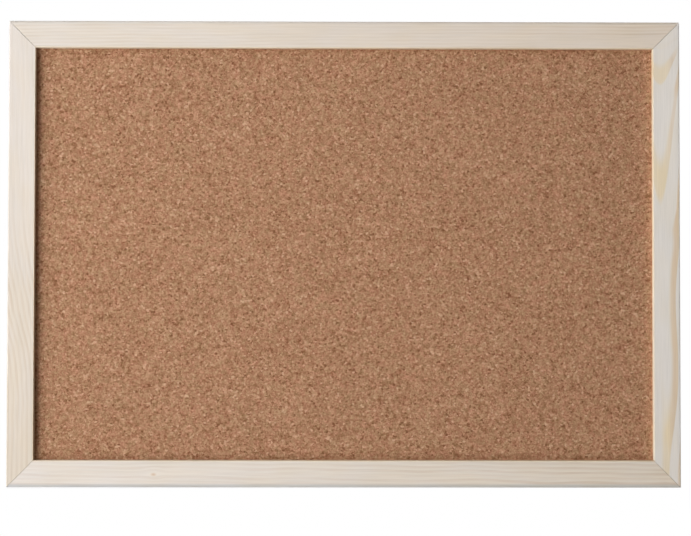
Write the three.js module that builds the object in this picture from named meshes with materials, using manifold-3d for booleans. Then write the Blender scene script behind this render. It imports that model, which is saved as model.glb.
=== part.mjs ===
// Pin badge board: a cork face on a softboard core, held in the rebate of a mitred pine frame and hung by two
// strap hangers with swinging rings. Millimetres, +Z up. The cork faces -Y, and +X is to the right as the front
// is seen. The origin is the middle of the frame's back plane, the plane that faces the wall.
import * as THREE from "three";
import { mergeVertices } from "three/addons/utils/BufferGeometryUtils.js";
import Module from "manifold-3d";

const wasm = await Module();
wasm.setup();

// Frame: four pine rails of one moulding, with the opening measured between their inner edges.
const OPENING_WIDTH = 450;
const OPENING_HEIGHT = 300;
const LAND_WIDTH = 12.5; // solid wood outside the rebate
const REBATE_WIDTH = 7; // how far the lip covers the panel's edge
const LIP_DEPTH = 5; // wood in front of the cork
const OUTER_ARRIS = 1; // radius of the eased front outer edge
const INNER_ARRIS = 0.6; // radius of the eased front inner edge
const BACK_ARRIS = 0.8; // radius of the eased back outer edge
const MITRE_GAP = 0.2; // open line between two mitred ends

// Panel: three sheets on top of each other, dropped into the rebate from behind.
const CORK_THICKNESS = 2;
const CORE_THICKNESS = 6.5;
const BACKING_THICKNESS = 2.5;
const PANEL_CLEARANCE = 0.75; // between the panel's edge and the rebate's wall
const BACK_RECESS = 2; // from the backing sheet to the frame's back plane

// V nails: bent steel strips driven across each mitre from behind.
const V_NAIL_LEG = 4;
const V_NAIL_THICKNESS = 0.5;
const V_NAIL_DEPTH = 10;
const V_NAILS_PER_CORNER = 2;

// Panel points: flat steel darts driven into the rebate's wall behind the backing sheet.
const POINT_WIDTH = 6;
const POINT_THICKNESS = 0.5;
const POINT_BITE = 7; // length in the wood
const POINT_REACH = 7; // length over the panel
const POINT_TIP = 3; // length of the tapered end
const POINTS_PER_RAIL = 4;
const POINTS_PER_STILE = 3;
const FASTENER_GAP = 0.2; // around everything driven into the wood

// Hangers: a curled steel strap, a bent wire ring in its loop and one wood screw.
const STRAP_WIDTH = 9;
const STRAP_THICKNESS = 1;
const LOOP_OVERHANG = 4.5; // from the rebate's wall to the middle of the strap's loop
const RING_WIRE = 2.2;
const RING_CLEARANCE = 0.3; // between the wire and the loop
const RING_WIDTH = 16; // between the wire's centre lines
const RING_LEG = 4; // straight length of each side
const RING_CORNER = 2.5; // bend radius where the bar meets a side
const RING_BUTT_GAP = 0.4; // between the two ends of the wire, inside the loop
const SCREW_HEAD_RADIUS = 2.75;
const SCREW_HEAD_HEIGHT = 2;
const SCREW_CORE_RADIUS = 1;
const SCREW_THREAD_RADIUS = 1.45;
const SCREW_THREAD_PITCH = 1.3;
const SCREW_THREADS = 7;
const SCREW_RECESS_LENGTH = 3.4;
const SCREW_RECESS_WIDTH = 0.9;
const SCREW_RECESS_DEPTH = 1.1;
const SCREW_HOLE_CLEARANCE = 0.3; // around the screw in the strap

// Sizes that follow from those above.
const RAIL_WIDTH = LAND_WIDTH + REBATE_WIDTH;
const PANEL_THICKNESS = CORK_THICKNESS + CORE_THICKNESS + BACKING_THICKNESS;
const RAIL_DEPTH = LIP_DEPTH + PANEL_THICKNESS + BACK_RECESS;
const BOARD_WIDTH = OPENING_WIDTH + 2 * RAIL_WIDTH;
const BOARD_HEIGHT = OPENING_HEIGHT + 2 * RAIL_WIDTH;
const PANEL_WIDTH = OPENING_WIDTH + 2 * (REBATE_WIDTH - PANEL_CLEARANCE);
const PANEL_HEIGHT = OPENING_HEIGHT + 2 * (REBATE_WIDTH - PANEL_CLEARANCE);
const CORK_FRONT_Y = LIP_DEPTH - RAIL_DEPTH;
const CORE_FRONT_Y = CORK_FRONT_Y + CORK_THICKNESS;
const BACKING_FRONT_Y = CORE_FRONT_Y + CORE_THICKNESS;
const PANEL_BACK_Y = -BACK_RECESS;
const LOOP_BORE_RADIUS = RING_WIRE / 2 + RING_CLEARANCE;
const LOOP_RADIUS = LOOP_BORE_RADIUS + STRAP_THICKNESS;
const LOOP_Z = -(LAND_WIDTH + LOOP_OVERHANG);
const SCREW_Z = -LAND_WIDTH / 2;
const SCREW_LENGTH = (SCREW_THREADS + 1) * SCREW_THREAD_PITCH;
const STILE_POINT_PITCH = OPENING_HEIGHT / POINTS_PER_STILE;
const HANGER_HEIGHT = OPENING_HEIGHT / 2 - STILE_POINT_PITCH; // midway between the stile's top two points

// How finely round shapes are divided.
const ARRIS_STEPS = 5;
const ROUND_STEPS = 20;
const WIRE_SIDES = 6;
const RING_STEPS = 48;

const pine = new THREE.MeshStandardMaterial({ color: "#ded2c2", roughness: 0.6, metalness: 0 });
const cork = new THREE.MeshStandardMaterial({ color: "#a77e61", roughness: 0.9, metalness: 0 });
const softboard = new THREE.MeshStandardMaterial({ color: "#b79a72", roughness: 0.95, metalness: 0 });
const hardboard = new THREE.MeshStandardMaterial({ color: "#7c5a3d", roughness: 0.7, metalness: 0 });
const zincSteel = new THREE.MeshStandardMaterial({ color: "#b9bcc0", roughness: 0.35, metalness: 1 });

// A closed geometry as a solid that can be joined and cut.
function solidOf(geometry) {
  const bare = geometry.clone();
  bare.deleteAttribute("normal");
  bare.deleteAttribute("uv");
  const merged = mergeVertices(bare);
  return new wasm.Manifold(
    new wasm.Mesh({
      numProp: 3,
      vertProperties: new Float32Array(merged.attributes.position.array),
      triVerts: new Uint32Array(merged.index.array),
    }),
  );
}

// A joined or cut solid as a geometry again.
function geometryOf(solid) {
  const mesh = solid.getMesh();
  const geometry = new THREE.BufferGeometry();
  geometry.setAttribute("position", new THREE.BufferAttribute(mesh.vertProperties, 3));
  geometry.setIndex(new THREE.BufferAttribute(mesh.triVerts, 1));
  geometry.computeVertexNormals();
  return geometry;
}

function cutAway(geometry, tools) {
  const cut = tools.reduce((left, tool) => left.subtract(solidOf(tool)), solidOf(geometry));
  return geometryOf(cut);
}

function named(name, geometry, material) {
  const mesh = new THREE.Mesh(geometry, material);
  mesh.name = name;
  return mesh;
}

// A flat outline, drawn as x along the rail and y towards the rail's outer edge, made solid from backY forwards.
function plate(outline, thickness, backY) {
  const options = { depth: thickness, bevelEnabled: false, curveSegments: ROUND_STEPS };
  const geometry = new THREE.ExtrudeGeometry(outline, options);
  return geometry.rotateX(Math.PI / 2).translate(0, backY, 0);
}

// Rails. A rail lies along x with its outer edge at z 0, its inner edge at -RAIL_WIDTH and its back at y 0.
// The moulding is drawn as the distance from the outer edge against y.
function mouldingOutline() {
  const outline = new THREE.Shape();
  outline.moveTo(LAND_WIDTH, 0);
  outline.lineTo(LAND_WIDTH, CORK_FRONT_Y);
  outline.lineTo(RAIL_WIDTH, CORK_FRONT_Y);
  outline.lineTo(RAIL_WIDTH, INNER_ARRIS - RAIL_DEPTH);
  outline.absarc(RAIL_WIDTH - INNER_ARRIS, INNER_ARRIS - RAIL_DEPTH, INNER_ARRIS, 0, -Math.PI / 2, true);
  outline.lineTo(OUTER_ARRIS, -RAIL_DEPTH);
  outline.absarc(OUTER_ARRIS, OUTER_ARRIS - RAIL_DEPTH, OUTER_ARRIS, -Math.PI / 2, -Math.PI, true);
  outline.lineTo(0, -BACK_ARRIS);
  outline.absarc(BACK_ARRIS, -BACK_ARRIS, BACK_ARRIS, Math.PI, Math.PI / 2, true);
  outline.closePath();
  return outline;
}

// The moulding run to a length, with both ends slid back to the 45 degree mitre.
function mitredLength(length) {
  const options = { depth: 1, steps: 1, bevelEnabled: false, curveSegments: ARRIS_STEPS };
  const geometry = new THREE.ExtrudeGeometry(mouldingOutline(), options).rotateY(Math.PI / 2);
  const position = geometry.attributes.position;
  for (let i = 0; i < position.count; i++) {
    const end = position.getX(i) > 0.5 ? 1 : -1;
    const inset = -position.getZ(i);
    position.setX(i, end * (length / 2 - inset - MITRE_GAP * Math.SQRT1_2));
  }
  return geometry;
}

// V nails straddle the mitre at even steps across the land, one leg along each rail.
function vNailInsets() {
  const step = LAND_WIDTH / (V_NAILS_PER_CORNER + 1);
  return Array.from({ length: V_NAILS_PER_CORNER }, (_, i) => step * (i + 1));
}

// The bent strip in plan, its bend at the origin and its legs along side * x and -z, grown all round by grow.
function vNail(side, grow) {
  const half = V_NAIL_THICKNESS / 2 + grow;
  const tip = V_NAIL_LEG + grow;
  const corners = [
    [-half, half],
    [-half, -tip],
    [half, -tip],
    [half, -half],
    [tip, -half],
    [tip, half],
  ];
  const points = corners.map(([x, z]) => new THREE.Vector2(side * x, z));
  return plate(new THREE.Shape(points), V_NAIL_DEPTH + 2 * grow, grow);
}

function vNailSlots(length) {
  return [-1, 1].flatMap((end) =>
    vNailInsets().map((inset) => vNail(-end, FASTENER_GAP).translate(end * (length / 2 - inset), 0, -inset)),
  );
}

// Panel points: x places along a rail, the dart's outline and the slot that it is driven into.
function pointPlaces(opening, count) {
  const pitch = opening / count;
  return Array.from({ length: count }, (_, i) => pitch * (i + 0.5) - opening / 2);
}

function panelPoint(grow) {
  const half = POINT_WIDTH / 2 + grow;
  const tip = POINT_BITE + grow;
  const outline = new THREE.Shape();
  outline.moveTo(-half, -POINT_REACH);
  outline.lineTo(half, -POINT_REACH);
  outline.lineTo(half, tip - POINT_TIP);
  outline.lineTo(half / 2, tip);
  outline.lineTo(-half / 2, tip);
  outline.lineTo(-half, tip - POINT_TIP);
  outline.closePath();
  return plate(outline, POINT_THICKNESS + 2 * grow, PANEL_BACK_Y + POINT_THICKNESS + grow);
}

// Hangers, drawn across the stile: the loop and the ring lie inwards of the screw.
function strapGeometry() {
  const half = STRAP_WIDTH / 2;
  const flat = new THREE.Shape();
  flat.moveTo(-half, LOOP_Z);
  flat.lineTo(half, LOOP_Z);
  flat.lineTo(half, SCREW_Z);
  flat.absarc(0, SCREW_Z, half, 0, Math.PI, false);
  flat.closePath();
  const hole = new THREE.Path();
  hole.absarc(0, SCREW_Z, SCREW_THREAD_RADIUS + SCREW_HOLE_CLEARANCE, 0, 2 * Math.PI, true);
  flat.holes.push(hole);
  const curl = new THREE.Shape();
  curl.absarc(0, 0, LOOP_RADIUS, 0, 2 * Math.PI, false);
  const bore = new THREE.Path();
  bore.absarc(0, 0, LOOP_BORE_RADIUS, 0, 2 * Math.PI, true);
  curl.holes.push(bore);
  const options = { depth: STRAP_WIDTH, bevelEnabled: false, curveSegments: ROUND_STEPS };
  const loop = new THREE.ExtrudeGeometry(curl, options).rotateY(Math.PI / 2).translate(-half, LOOP_RADIUS, LOOP_Z);
  return geometryOf(solidOf(plate(flat, STRAP_THICKNESS, STRAP_THICKNESS)).add(solidOf(loop)));
}

// The wire's centre line: out of the loop, round the D and back to the butt joint inside the loop.
function ringGeometry() {
  const half = RING_WIDTH / 2;
  const line = new THREE.Path();
  line.moveTo(RING_BUTT_GAP / 2, 0);
  line.lineTo(half - RING_CORNER, 0);
  line.absarc(half - RING_CORNER, -RING_CORNER, RING_CORNER, Math.PI / 2, 0, true);
  line.lineTo(half, -RING_CORNER - RING_LEG);
  line.absarc(0, -RING_CORNER - RING_LEG, half, 0, -Math.PI, true);
  line.lineTo(-half, -RING_CORNER);
  line.absarc(RING_CORNER - half, -RING_CORNER, RING_CORNER, Math.PI, Math.PI / 2, true);
  line.lineTo(-RING_BUTT_GAP / 2, 0);
  const points = line.getSpacedPoints(RING_STEPS).map((p) => new THREE.Vector3(p.x, 0, p.y));
  const section = new THREE.Shape();
  section.absarc(0, 0, RING_WIRE / 2, 0, 2 * Math.PI, false);
  const options = {
    steps: RING_STEPS,
    curveSegments: WIRE_SIDES,
    extrudePath: new THREE.CatmullRomCurve3(points),
  };
  return new THREE.ExtrudeGeometry(section, options).translate(0, LOOP_RADIUS, LOOP_Z);
}

// A pan head wood screw whose head rests on y 0, with its thread as ridges and a cross recess in the head.
function screwGeometry() {
  const profile = [new THREE.Vector2(0, -SCREW_LENGTH)];
  for (let i = 0; i < SCREW_THREADS; i++) {
    const ridge = (i + 1) * SCREW_THREAD_PITCH - SCREW_LENGTH;
    profile.push(new THREE.Vector2(SCREW_CORE_RADIUS, ridge - SCREW_THREAD_PITCH / 4));
    profile.push(new THREE.Vector2(SCREW_THREAD_RADIUS, ridge));
    profile.push(new THREE.Vector2(SCREW_CORE_RADIUS, ridge + SCREW_THREAD_PITCH / 4));
  }
  profile.push(new THREE.Vector2(SCREW_CORE_RADIUS, 0));
  const dome = ARRIS_STEPS;
  for (let i = 0; i <= dome; i++) {
    const turn = (i / dome) * (Math.PI / 2);
    const radius = i < dome ? SCREW_HEAD_RADIUS * Math.cos(turn) : 0;
    profile.push(new THREE.Vector2(radius, SCREW_HEAD_HEIGHT * Math.sin(turn)));
  }
  const body = new THREE.LatheGeometry(profile, ROUND_STEPS);
  const arm = () => new THREE.BoxGeometry(SCREW_RECESS_LENGTH, 2 * SCREW_RECESS_DEPTH, SCREW_RECESS_WIDTH);
  const arms = [arm(), arm().rotateY(Math.PI / 2)];
  return cutAway(
    body,
    arms.map((piece) => piece.translate(0, SCREW_HEAD_HEIGHT, 0)),
  );
}

function screwHole() {
  const radius = SCREW_THREAD_RADIUS + FASTENER_GAP;
  const depth = SCREW_LENGTH - STRAP_THICKNESS + FASTENER_GAP;
  const above = BACK_RECESS; // the drill's run above the wood
  const hole = new THREE.CylinderGeometry(radius, radius, depth + above, ROUND_STEPS);
  return hole.translate(0, (above - depth) / 2, SCREW_Z);
}

function hanger(side, place) {
  const group = new THREE.Group();
  group.position.x = place;
  const screw = named(side + "_hanger_screw", screwGeometry(), zincSteel);
  screw.position.set(0, STRAP_THICKNESS, SCREW_Z);
  group.add(
    named(side + "_hanger_strap", strapGeometry(), zincSteel),
    named(side + "_hanger_ring", ringGeometry(), zincSteel),
    screw,
  );
  return group;
}

// One side of the frame: the rail, the points along it, the V nails at its left end and, on a stile, its hanger.
function frameSide({ name, label, corner, length, opening, points, turn, hangerPlace }) {
  const side = new THREE.Group();
  side.rotation.y = turn;
  const places = pointPlaces(opening, points);
  const tools = [
    ...vNailSlots(length),
    ...places.map((x) => panelPoint(FASTENER_GAP).translate(x, 0, -LAND_WIDTH)),
  ];
  if (hangerPlace !== undefined) {
    tools.push(screwHole().translate(hangerPlace, 0, 0));
    side.add(hanger(label, hangerPlace));
  }
  side.add(named(name, cutAway(mitredLength(length), tools), pine));
  places.forEach((x, i) => {
    const point = named(`panel_point_${label}_${i + 1}`, panelPoint(0), zincSteel);
    point.position.set(x, 0, -LAND_WIDTH);
    side.add(point);
  });
  vNailInsets().forEach((inset, i) => {
    const nail = named(`v_nail_${corner}_${i + 1}`, vNail(1, 0), zincSteel);
    nail.position.set(inset - length / 2, -FASTENER_GAP, -inset);
    side.add(nail);
  });
  return side;
}

function sheet(name, thickness, frontY, material) {
  const mesh = named(name, new THREE.BoxGeometry(PANEL_WIDTH, thickness, PANEL_HEIGHT), material);
  mesh.position.y = frontY + thickness / 2;
  return mesh;
}

const board = new THREE.Group();

const rail = { length: BOARD_WIDTH, opening: OPENING_WIDTH, points: POINTS_PER_RAIL };
const stile = { length: BOARD_HEIGHT, opening: OPENING_HEIGHT, points: POINTS_PER_STILE };
const top = frameSide({ ...rail, name: "top_rail", label: "top", corner: "top_left", turn: 0 });
const bottom = frameSide({ ...rail, name: "bottom_rail", label: "bottom", corner: "bottom_right", turn: Math.PI });
const left = frameSide({
  ...stile,
  name: "left_stile",
  label: "left",
  corner: "bottom_left",
  turn: -Math.PI / 2,
  hangerPlace: HANGER_HEIGHT,
});
const right = frameSide({
  ...stile,
  name: "right_stile",
  label: "right",
  corner: "top_right",
  turn: Math.PI / 2,
  hangerPlace: -HANGER_HEIGHT,
});
top.position.z = BOARD_HEIGHT / 2;
bottom.position.z = -BOARD_HEIGHT / 2;
left.position.x = -BOARD_WIDTH / 2;
right.position.x = BOARD_WIDTH / 2;

board.add(
  top,
  bottom,
  left,
  right,
  sheet("cork_sheet", CORK_THICKNESS, CORK_FRONT_Y, cork),
  sheet("softboard_core", CORE_THICKNESS, CORE_FRONT_Y, softboard),
  sheet("hardboard_back", BACKING_THICKNESS, BACKING_FRONT_Y, hardboard),
);

export default board;
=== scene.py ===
import math

import bmesh
import bpy
from mathutils import Matrix, Vector, noise


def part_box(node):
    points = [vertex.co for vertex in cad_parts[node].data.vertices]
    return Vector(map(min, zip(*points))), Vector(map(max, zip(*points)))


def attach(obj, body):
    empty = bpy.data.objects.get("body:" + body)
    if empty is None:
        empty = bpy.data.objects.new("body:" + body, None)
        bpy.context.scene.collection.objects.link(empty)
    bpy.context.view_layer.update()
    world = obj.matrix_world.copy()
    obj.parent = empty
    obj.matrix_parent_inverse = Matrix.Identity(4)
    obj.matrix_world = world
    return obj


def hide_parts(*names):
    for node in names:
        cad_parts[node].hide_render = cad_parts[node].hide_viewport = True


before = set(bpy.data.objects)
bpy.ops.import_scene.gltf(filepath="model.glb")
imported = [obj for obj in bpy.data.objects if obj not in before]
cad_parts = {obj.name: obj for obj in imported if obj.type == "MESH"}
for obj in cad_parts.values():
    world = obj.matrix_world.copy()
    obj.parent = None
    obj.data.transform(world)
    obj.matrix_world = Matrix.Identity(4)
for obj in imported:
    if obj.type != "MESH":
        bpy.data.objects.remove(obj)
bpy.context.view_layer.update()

# Frame rails. Four lengths of one planed pine moulding, rebated behind the front lip, mitred at
# 45 degrees and glued. The wood is bare, and sanding has eased its long edges.
rail_low, rail_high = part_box("top_rail")
RAIL_WIDTH = rail_high[2] - rail_low[2]
RAIL_DEPTH = rail_high[1] - rail_low[1]
LIP_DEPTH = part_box("cork_sheet")[0][1] - rail_low[1]
LAND_WIDTH = 0.0125
MITRE_GAP = 0.0002
OUTER_ARRIS = 0.001
INNER_ARRIS = 0.0004
BACK_ARRIS = 0.0008
ARRIS_SEGMENTS = 6
RAIL_CUTS = 24
HAND_WAVER = 0.00004
WAVER_PACE = 12
WAVER_SHIFT = 7
WAVER_SEED = 4
SMOOTH_BELOW = 35
CLOSE = 1e-6

BOARD_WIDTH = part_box("right_stile")[1][0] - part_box("left_stile")[0][0]
BOARD_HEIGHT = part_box("top_rail")[1][2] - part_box("bottom_rail")[0][2]
RAIL_SIDES = {
    "top": ("top_rail", BOARD_WIDTH, 0.0, (0, 0, BOARD_HEIGHT / 2)),
    "bottom": ("bottom_rail", BOARD_WIDTH, math.pi, (0, 0, -BOARD_HEIGHT / 2)),
    "left": ("left_stile", BOARD_HEIGHT, -math.pi / 2, (-BOARD_WIDTH / 2, 0, 0)),
    "right": ("right_stile", BOARD_HEIGHT, math.pi / 2, (BOARD_WIDTH / 2, 0, 0)),
}


def at_side(side):
    """From a rail's own frame, outer edge at z 0 and length along x, to its side of the board."""
    _, _, turn, edge = RAIL_SIDES[side]
    return Matrix.Translation(edge) @ Matrix.Rotation(turn, 4, "Y")


def near(a, b):
    return abs(a - b) < CLOSE


def everything(bm):
    return bm.verts[:] + bm.edges[:] + bm.faces[:]


def verts_of(geom):
    return [part for part in geom if isinstance(part, bmesh.types.BMVert)]


def slab(bm, outline, run):
    """A flat outline pushed along run to make a solid."""
    face = bm.faces.new([bm.verts.new(corner) for corner in outline])
    pushed = bmesh.ops.extrude_face_region(bm, geom=[face])["geom"]
    bmesh.ops.translate(bm, vec=run, verts=verts_of(pushed))


def round_over(bm, edges, radius, segments):
    """Rounds edges over to a quarter circle."""
    bmesh.ops.bevel(
        bm,
        geom=edges,
        offset=radius,
        offset_type="OFFSET",
        segments=segments,
        profile=0.5,
        affect="EDGES",
        material=-1,
    )


def shade(mesh, smooth_below=SMOOTH_BELOW):
    """Smooth over the rounds, sharp where two faces meet at a larger angle."""
    mesh.shade_smooth()
    mesh.set_sharp_from_angle(angle=math.radians(smooth_below))


def finished(bm, name, smooth_below=SMOOTH_BELOW):
    """A shaped mesh as an object at the origin, with its faces outwards."""
    bmesh.ops.recalc_face_normals(bm, faces=bm.faces)
    mesh = bpy.data.meshes.new(name)
    bm.to_mesh(mesh)
    bm.free()
    shade(mesh, smooth_below)
    piece = bpy.data.objects.new(name, mesh)
    bpy.context.collection.objects.link(piece)
    return piece


def keep_flats(piece):
    """Weights the normals by face area, so that an eased edge doesn't shade the flats beside it."""
    weighted = piece.modifiers.new("keep flats", "WEIGHTED_NORMAL")
    weighted.keep_sharp = True


def take_out(piece, tool):
    """Takes a tool's shape out of a piece, then removes the tool."""
    cut = piece.modifiers.new("take out", "BOOLEAN")
    cut.operation = "DIFFERENCE"
    cut.solver = "EXACT"
    cut.object = tool
    whole = piece.data
    shaped = piece.evaluated_get(bpy.context.evaluated_depsgraph_get())
    piece.data = bpy.data.meshes.new_from_object(shaped)
    piece.modifiers.remove(cut)
    bpy.data.meshes.remove(whole)
    bpy.data.objects.remove(tool)


def mitred_rail(length):
    """The moulding along x, its long edges rounded over and both ends cut to the mitre."""
    lip_back = LIP_DEPTH - RAIL_DEPTH
    section = [
        (0, 0),
        (LAND_WIDTH, 0),
        (LAND_WIDTH, lip_back),
        (RAIL_WIDTH, lip_back),
        (RAIL_WIDTH, -RAIL_DEPTH),
        (0, -RAIL_DEPTH),
    ]
    bm = bmesh.new()
    slab(bm, [(-length / 2, y, -inset) for inset, y in section], (length, 0, 0))
    for inset, y, radius in (
        (0, -RAIL_DEPTH, OUTER_ARRIS),
        (RAIL_WIDTH, -RAIL_DEPTH, INNER_ARRIS),
        (0, 0, BACK_ARRIS),
    ):
        arris = [
            edge
            for edge in bm.edges
            if all(near(v.co.y, y) and near(v.co.z, -inset) for v in edge.verts)
        ]
        round_over(bm, arris, radius, ARRIS_SEGMENTS)
    for k in range(1, RAIL_CUTS):
        along = length * (k / RAIL_CUTS - 0.5)
        bmesh.ops.bisect_plane(bm, geom=everything(bm), plane_co=(along, 0, 0), plane_no=(1, 0, 0))
    mitre_at = length / 2 - MITRE_GAP * math.sqrt(0.5)
    for end in (-1, 1):
        mitre = bmesh.ops.bisect_plane(
            bm,
            geom=everything(bm),
            plane_co=(end * mitre_at, 0, 0),
            plane_no=(end, 0, -1),
            clear_outer=True,
        )
        rim = [part for part in mitre["geom_cut"] if isinstance(part, bmesh.types.BMEdge)]
        bmesh.ops.holes_fill(bm, edges=rim)
    return bm


# Slots in the rails. Two V nails straddle each mitre, flat darts hold the panel along the rebate,
# and one screw goes into the back of each stile. Each has a hair of room in the wood.
V_NAIL_LEG = 0.004
V_NAIL_THICKNESS = 0.0005
V_NAIL_DEPTH = 0.010
V_NAIL_INSETS = (LAND_WIDTH / 3, LAND_WIDTH * 2 / 3)
POINT_WIDTH = 0.006
POINT_THICKNESS = 0.0005
POINT_BITE = 0.007
POINT_REACH = 0.007
POINT_TIP = 0.003
DRIVEN_GAP = 0.0002
SLOT_MOUTH = 0.001
SCREW_INSET = LAND_WIDTH / 2
SCREW_SHANK = 0.00145
PILOT_LENGTH = 0.0115
PILOT_MIDDLE = -0.0045
PILOT_SIDES = 24


def v_nail_plan(along, inset, side, y, grow=0.0):
    """Outline of a V nail at height y: bent at the mitre, one leg along each rail."""
    half = V_NAIL_THICKNESS / 2 + grow
    tip = V_NAIL_LEG + grow
    plan = [(-half, half), (-half, -tip), (half, -tip), (half, -half), (tip, -half), (tip, half)]
    return [(along + side * x, y, z - inset) for x, z in plan]


def point_plan(along, y, grow=0.0):
    """Outline of a panel point at height y: square over the panel, tapered in the wood."""
    half = POINT_WIDTH / 2 + grow
    tip = POINT_BITE + grow
    plan = [
        (-half, -POINT_REACH),
        (half, -POINT_REACH),
        (half, tip - POINT_TIP),
        (half / 2, tip),
        (-half / 2, tip),
        (-half, tip - POINT_TIP),
    ]
    return [(along + x, y, z - LAND_WIDTH) for x, z in plan]


def along_rail(node, side):
    """Where a node's middle is along its own rail."""
    low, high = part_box(node)
    middle = (Vector(low) + Vector(high)) / 2
    return (at_side(side).inverted() @ middle).x


def round_bit(bm, along, middle, radius, length, sides):
    """A round cutter along y, where a hanger's screw goes."""
    stand = Matrix.Translation((along, middle, -SCREW_INSET)) @ Matrix.Rotation(math.pi / 2, 4, "X")
    bmesh.ops.create_cone(
        bm,
        cap_ends=True,
        segments=sides,
        radius1=radius,
        radius2=radius,
        depth=length,
        matrix=stand,
    )


panel_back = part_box("hardboard_back")[1][1]
point_nodes = {}
for side in RAIL_SIDES:
    point_nodes[side] = [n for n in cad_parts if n.startswith("panel_point_" + side)]


def fastener_slots(side):
    """Everything that is driven into one rail, as one tool a hair larger all round."""
    _, length, _, _ = RAIL_SIDES[side]
    bm = bmesh.new()
    for end in (-1, 1):
        for inset in V_NAIL_INSETS:
            plan = v_nail_plan(end * (length / 2 - inset), inset, -end, SLOT_MOUTH, DRIVEN_GAP)
            slab(bm, plan, (0, -SLOT_MOUTH - V_NAIL_DEPTH - 2 * DRIVEN_GAP, 0))
    for node in point_nodes[side]:
        top = panel_back + POINT_THICKNESS + DRIVEN_GAP
        plan = point_plan(along_rail(node, side), top, DRIVEN_GAP)
        slab(bm, plan, (0, -POINT_THICKNESS - 2 * DRIVEN_GAP, 0))
    if side in ("left", "right"):
        along = along_rail(side + "_hanger_screw", side)
        round_bit(bm, along, PILOT_MIDDLE, SCREW_SHANK + DRIVEN_GAP, PILOT_LENGTH, PILOT_SIDES)
    return finished(bm, side + "_slots")


# Pine. The rings and fibres of the sawn wood are one node group, and the slow changes of tone and
# the edges another, which paints shade and bounce light on the arrises and the lip. Both read a
# rail's own length, width and depth, in metres. Each pace is how often a pattern changes in a metre
# along, across and through the rail.
DRIFT_PACE = (0, 28, 28)
FIBRE_PACE = (40, 1500, 1500)
EBB_PACE = (26, 240, 240)
PATCH_PACE = (26, 60, 60)
CLOUD_PACE = (9, 70, 70)
RING_END = 0.93
RINGS_BEFORE = 100.0
TAPER_NEAREST = 0.002
FRESH_AND_BOUNCE_WIDTH = 0.0013
LIP_FACE_FROM = 0.0002
LIP_FACE_FULL = 0.0008
WARM_PATCH = (1.0, 0.985, 0.95, 1.0)
# Painted shade: a bluish grey laid on the outer arris.
ARRIS_SHADE_TINT = (0.7, 0.76, 0.83, 1.0)
# Inner arris: partly the paler yellow of newly cut wood, partly painted warm bounce light.
FRESH_CUT_AND_BOUNCE = (1.03, 1.0, 0.9, 1.0)
# Painted shade on the lip's inner face, warmed by painted bounce light off the cork.
LIP_FACE_SHADE_AND_BOUNCE = (0.96, 0.92, 0.85, 1.0)
LATE_FULL = (0.44, 0.99)
EBB_HIGHEST = 1.1
SLOW_SHADING = (0.965, 1.025)
FIBRE_SHADING = (0.955, 1.035)
# How much the painted arris shade comes and goes in patches.
SHADE_PATCHES = (0.8, 1.0)
PINE_DULLNESS = (0.52, 0.64)
PINE_SPECULAR = 0.25
PINE_RELIEF = (0.5, 0.00005)
LATE_RIDGE = 0.6
KNOT_OVAL = (0.6, 1.0, 0.1)
KNOT_REACH = 4
KNOT_PUSH = 0.8
KNOT_DARKNESS = 0.6
NOISE_SPAN = (0.3, 0.7)
NOISE_MIDDLE = (0.35, 0.65)


def place(tree, kind, sockets=None, **settings):
    """Adds a node to a material or group, with its settings, and joins or sets its sockets."""
    made = tree.nodes.new(kind)
    for name, value in settings.items():
        setattr(made, name, value)
    for key, value in (sockets or {}).items():
        if isinstance(value, bpy.types.NodeSocket):
            tree.links.new(value, made.inputs[key])
        else:
            made.inputs[key].default_value = value
    return made


def calc(tree, operation, a, b=0.0):
    return place(tree, "ShaderNodeMath", {0: a, 1: b}, operation=operation).outputs[0]


def vector_calc(tree, operation, a, b):
    return place(tree, "ShaderNodeVectorMath", {0: a, 1: b}, operation=operation).outputs[0]


def stretched(tree, vector, by):
    return vector_calc(tree, "MULTIPLY", vector, by)


def length_of(tree, vector):
    return place(tree, "ShaderNodeVectorMath", {0: vector}, operation="LENGTH").outputs["Value"]


def spread(tree, value, low, high, to_low=0.0, to_high=1.0, how="SMOOTHSTEP"):
    """Takes low to high over to a new range, by default with soft ends."""
    sockets = {
        "Value": value,
        "From Min": low,
        "From Max": high,
        "To Min": to_low,
        "To Max": to_high,
    }
    return place(tree, "ShaderNodeMapRange", sockets, interpolation_type=how).outputs[0]


def evenly(tree, value, low, high, to_low=0.0, to_high=1.0):
    return spread(tree, value, low, high, to_low, to_high, "LINEAR")


def tinted(tree, mask, a, b, how="MIX"):
    sockets = {0: mask, 6: a, 7: b}
    return place(tree, "ShaderNodeMix", sockets, data_type="RGBA", blend_type=how).outputs[2]


def mottled(tree, vector, detail, scale=1.0):
    """Soft noise over a surface, mostly within the noise span."""
    sockets = {"Vector": vector, "Scale": scale, "Detail": detail}
    return place(tree, "ShaderNodeTexNoise", sockets).outputs[0]


def object_place(tree):
    return place(tree, "ShaderNodeTexCoord").outputs["Object"]


def tone(red, green, blue):
    """A colour as it is read off a screen, 0 to 255, made linear."""
    parts = [c / 255 for c in (red, green, blue)]
    return [p / 12.92 if p <= 0.04045 else ((p + 0.055) / 1.055) ** 2.4 for p in parts] + [1.0]


def new_finish(name):
    material = bpy.data.materials.new(name)
    material.use_nodes = True
    tree = material.node_tree
    return material, tree, tree.nodes["Principled BSDF"]


def roughened(tree, shader, height, strength, distance):
    sockets = {"Height": height, "Strength": strength, "Distance": distance}
    bump = place(tree, "ShaderNodeBump", sockets)
    tree.links.new(bump.outputs[0], shader.inputs["Normal"])


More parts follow.
